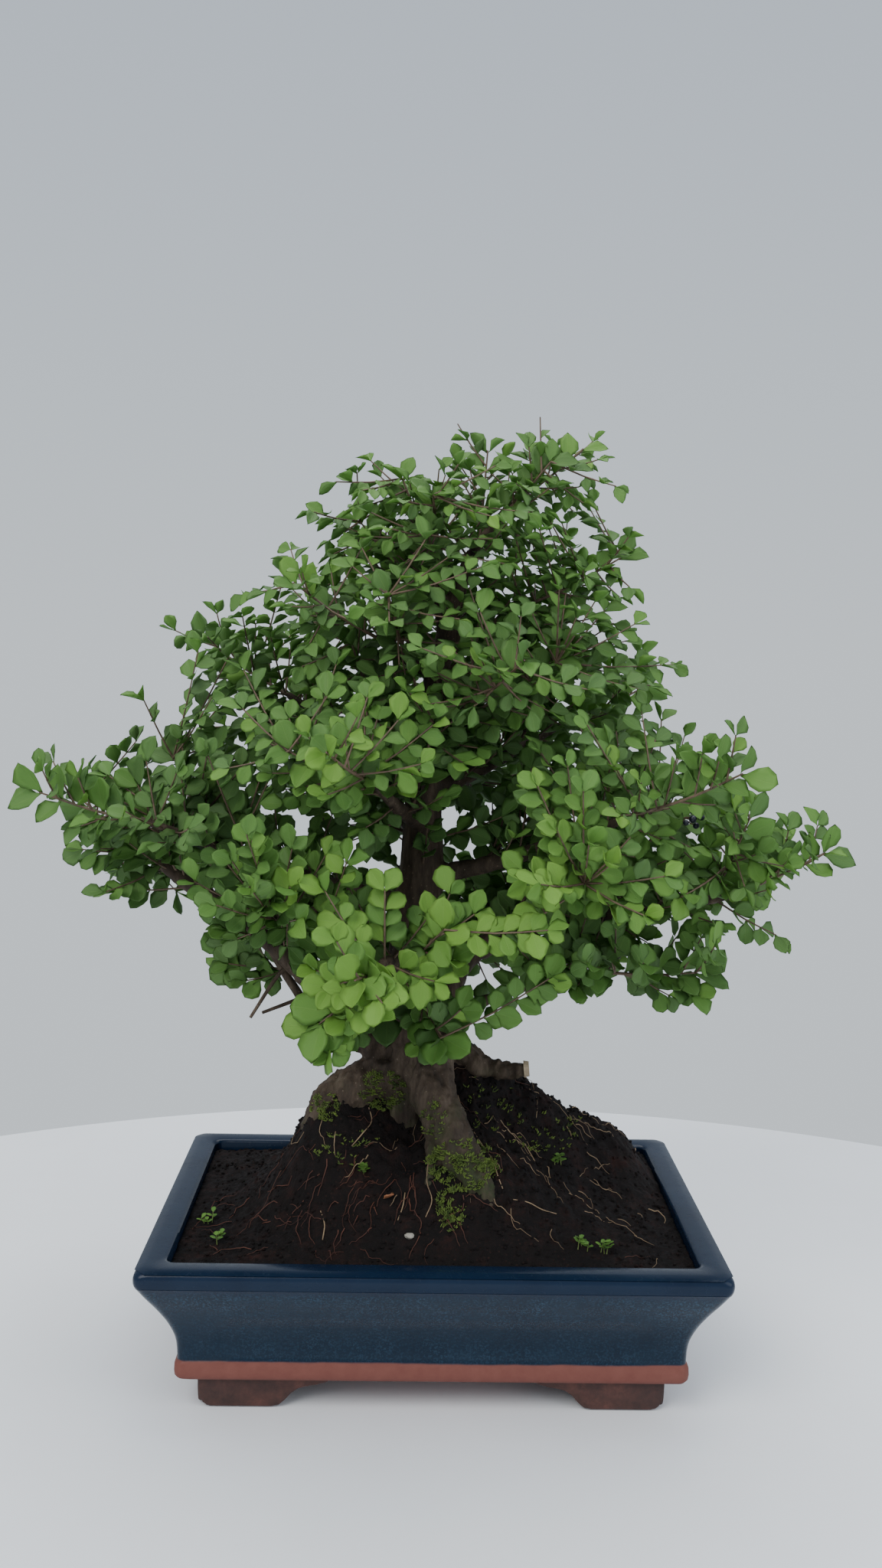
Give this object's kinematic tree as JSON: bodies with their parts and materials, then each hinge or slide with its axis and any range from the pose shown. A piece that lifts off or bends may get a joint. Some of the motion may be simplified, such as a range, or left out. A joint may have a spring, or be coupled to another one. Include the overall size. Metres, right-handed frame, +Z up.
{
  "type": "bonsai tree in a pot",
  "caption": "Chinese privet bonsai: a dense cone of small glossy leaves on a buttressed trunk, growing from heaped soil in a rectangular blue glazed pot on bracket feet.",
  "frame": {"origin": "middle of the pot, on the surface that its feet stand on", "axes": "+Z up, +X along the pot's long side to the right as seen from the front, -Y towards the front"},
  "size_m": [0.4494, 0.2839, 0.5163],
  "materials": {
    "glazed_clay": "dark blue speckled gloss glaze over red-brown clay, bare on the foot band and the feet",
    "screen_plastic": "dark plastic mesh",
    "soil": "moist dark crumbly soil with pale rootlets and moss",
    "bark": "smooth grey-brown bark, knotted and mossy at the roots",
    "leaf": "glossy mid-green leaves, yellow-green on young shoots, on thin brown twigs"
  },
  "bodies": {
    "root": {"drain_screen_left": "screen_plastic", "drain_screen_right": "screen_plastic", "pot": "glazed_clay", "soil": "soil", "spray_frontLow_1": "leaf", "spray_frontLow_2": "leaf", "spray_frontLow_3": "leaf", "spray_leaderLeft_1": "leaf", "spray_leaderLeft_2": "leaf", "spray_leaderLeft_3": "leaf", "spray_leaderRight_1": "leaf", "spray_leaderRight_2": "leaf", "spray_leaderRight_3": "leaf", "spray_leftLow_1": "leaf", "spray_leftLow_2": "leaf", "spray_leftLow_3": "leaf", "spray_leftLow_4": "leaf", "spray_leftLow_5": "leaf", "spray_leftLow_6": "leaf", "spray_leftLow_7": "leaf", "spray_rightLow_1": "leaf", "spray_rightLow_2": "leaf", "spray_rightLow_3": "leaf", "spray_rightLow_4": "leaf", "spray_rightLow_5": "leaf", "spray_rightLow_6": "leaf", "spray_rightLow_7": "leaf", "spray_rightSprig_1": "leaf", "spray_rightSprig_2": "leaf", "spray_trunkFront": "leaf", "spray_trunkLeft": "leaf", "spray_upper01_1": "leaf", "spray_upper01_2": "leaf", "spray_upper01_3": "leaf", "spray_upper02_1": "leaf", "spray_upper02_2": "leaf", "spray_upper02_3": "leaf", "spray_upper03_1": "leaf", "spray_upper03_2": "leaf", "spray_upper03_3": "leaf", "spray_upper04_1": "leaf", "spray_upper04_2": "leaf", "spray_upper04_3": "leaf", "spray_upper05_1": "leaf", "spray_upper05_2": "leaf", "spray_upper05_3": "leaf", "spray_upper06_1": "leaf", "spray_upper06_2": "leaf", "spray_upper06_3": "leaf", "spray_upper07_1": "leaf", "spray_upper07_2": "leaf", "spray_upper08_1": "leaf", "spray_upper08_2": "leaf", "spray_upper09_1": "leaf", "spray_upper09_2": "leaf", "spray_upper10_1": "leaf", "spray_upper10_2": "leaf", "spray_upper11_1": "leaf", "spray_upper11_2": "leaf", "wood": "bark"}
  },
  "joints": []
}
